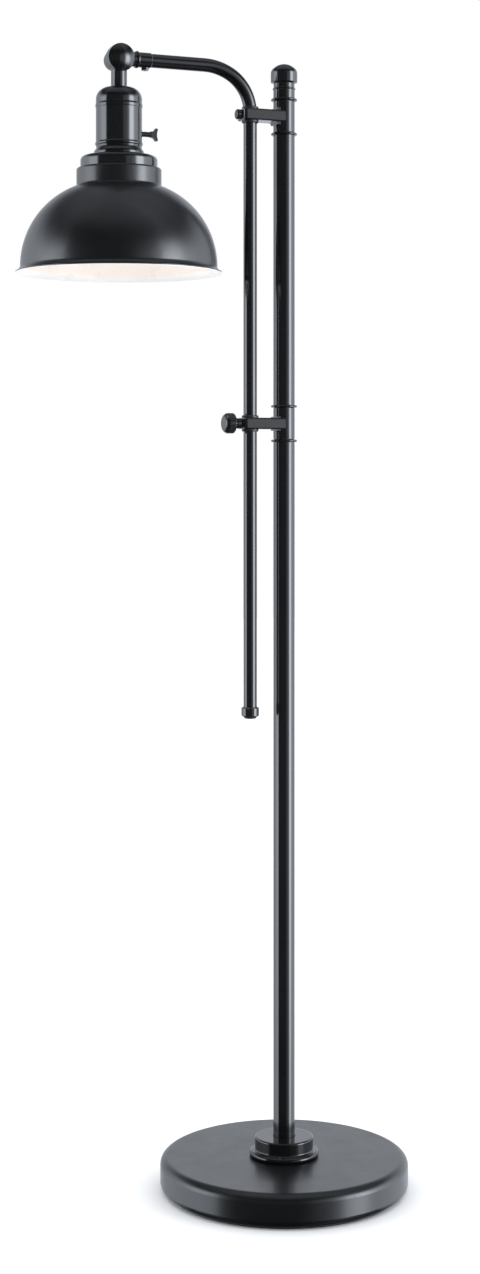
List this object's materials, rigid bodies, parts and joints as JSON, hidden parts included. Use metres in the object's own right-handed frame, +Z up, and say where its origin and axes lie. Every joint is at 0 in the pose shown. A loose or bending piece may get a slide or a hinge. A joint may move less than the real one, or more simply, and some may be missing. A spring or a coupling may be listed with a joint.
{
  "type": "pharmacy floor lamp",
  "caption": "Floor lamp with a round weighted base, an upright pole, a sliding swinging side arm and a domed metal shade on a friction knuckle.",
  "frame": {"origin": "centre of the base's underside, on the pole's axis", "axes": "+Z up along the pole; the arm reaches towards -X; the knuckle knob is on the +Y side"},
  "size_m": [0.4707, 0.292, 1.3344],
  "materials": {
    "bronze_paint": "gloss black-bronze paint",
    "satin_paint": "satin charcoal-bronze enamel",
    "white_enamel": "gloss white enamel",
    "cast_iron": "as cast",
    "felt": "black felt",
    "plated_steel": "zinc plated",
    "black_nylon": "black nylon",
    "cable_sheath": "black sheath",
    "friction_fibre": "pressed fibre",
    "phenolic": "moulded phenolic",
    "brass": "drawn brass",
    "bulb_glass": "frosted",
    "bulb_mount": "clear glass and wire"
  },
  "bodies": {
    "stand": {"base_collar": "bronze_paint", "base_cover": "satin_paint", "base_felt_pad": "felt", "base_nipple": "plated_steel", "base_nut": "plated_steel", "base_washer": "plated_steel", "base_weight": "cast_iron", "pole_bead": "bronze_paint", "pole_bottom_plug": "plated_steel", "pole_lower": "bronze_paint", "pole_middle": "bronze_paint", "pole_post_plug": "plated_steel", "pole_ring_1": "bronze_paint", "pole_ring_2": "bronze_paint", "pole_ring_3": "bronze_paint", "pole_ring_4": "bronze_paint", "pole_top": "bronze_paint", "inner_post": "plated_steel", "finial_cap": "bronze_paint", "swing_washers": "black_nylon"},
    "swing": {"lower_bracket": "bronze_paint", "upper_bracket": "bronze_paint", "tension_pad": "black_nylon", "tension_screw": "bronze_paint"},
    "bushes": {"lower_bushes": "black_nylon", "upper_bushes": "black_nylon"},
    "lock_pad": {"lock_pad": "black_nylon"},
    "lock_knob": {"lock_knob": "bronze_paint", "lock_screw": "plated_steel"},
    "arm": {"arm_tube": "bronze_paint", "rod_end_cap": "bronze_paint", "cable_bushing": "black_nylon", "arm_lead": "cable_sheath", "arm_ferrule": "bronze_paint", "ferrule_screw": "bronze_paint", "arm_knuckle_half": "bronze_paint"},
    "knuckle_washer": {"knuckle_washer": "bronze_paint"},
    "knuckle_knob": {"knuckle_knob": "bronze_paint"},
    "key": {"switch_key": "bronze_paint", "switch_spindle": "plated_steel"},
    "head": {"bulb_cap": "brass", "bulb_filament": "bulb_mount", "bulb_globe": "bulb_glass", "centre_contact": "brass", "head_knuckle_half": "bronze_paint", "head_lead": "cable_sheath", "head_nipple": "plated_steel", "head_nut": "plated_steel", "knuckle_friction_ring": "friction_fibre", "knuckle_stud": "plated_steel", "lip_ring": "bronze_paint", "neck_cap": "bronze_paint", "screw_shell": "brass", "shade": "satin_paint", "shade_liner": "white_enamel", "shade_ring": "phenolic", "socket_body": "phenolic", "socket_cup": "bronze_paint", "switch_body": "phenolic"}
  },
  "joints": [
    {"name": "arm_swing", "type": "hinge", "parent": "stand", "child": "swing", "pos_m": [0, 0, 0.9024], "axis": [0, 0, 1], "continuous": true},
    {"name": "rod_turn", "type": "hinge", "parent": "swing", "child": "bushes", "pos_m": [-0.0435, 0, 0.9024], "axis": [0, 0, 1], "range_deg": [-90, 90]},
    {"name": "arm_height", "type": "slide", "parent": "bushes", "child": "arm", "axis": [0, 0, 1], "range_m": [0, 0.32]},
    {"name": "shade_tilt", "type": "hinge", "parent": "arm", "child": "head", "pos_m": [-0.2067, 0, 1.3185], "axis": [0, 1, 0], "range_deg": [-6, 95]},
    {"name": "lock_pad_travel", "type": "slide", "parent": "swing", "child": "lock_pad", "axis": [-1, 0, 0], "range_m": [0, 0.0008]},
    {"name": "lock_knob_turn", "type": "hinge", "parent": "lock_pad", "child": "lock_knob", "pos_m": [-0.071, 0, 0.9024], "axis": [-1, 0, 0], "range_deg": [0, 361]},
    {"name": "knuckle_washer_travel", "type": "slide", "parent": "head", "child": "knuckle_washer", "axis": [0, 1, 0], "range_m": [0, 0.0008]},
    {"name": "knuckle_knob_turn", "type": "hinge", "parent": "knuckle_washer", "child": "knuckle_knob", "pos_m": [-0.2067, 0.0155, 1.3185], "axis": [0, 1, 0], "range_deg": [0, 361]},
    {"name": "switch_key_turn", "type": "hinge", "parent": "head", "child": "key", "pos_m": [-0.2067, 0, 1.2334], "axis": [1, 0, 0], "continuous": true}
  ],
  "couplings": [
    {"joint": "lock_knob_turn", "follows": "lock_pad_travel", "rad_per_m": 7854},
    {"joint": "knuckle_knob_turn", "follows": "knuckle_washer_travel", "rad_per_m": 7854}
  ]
}
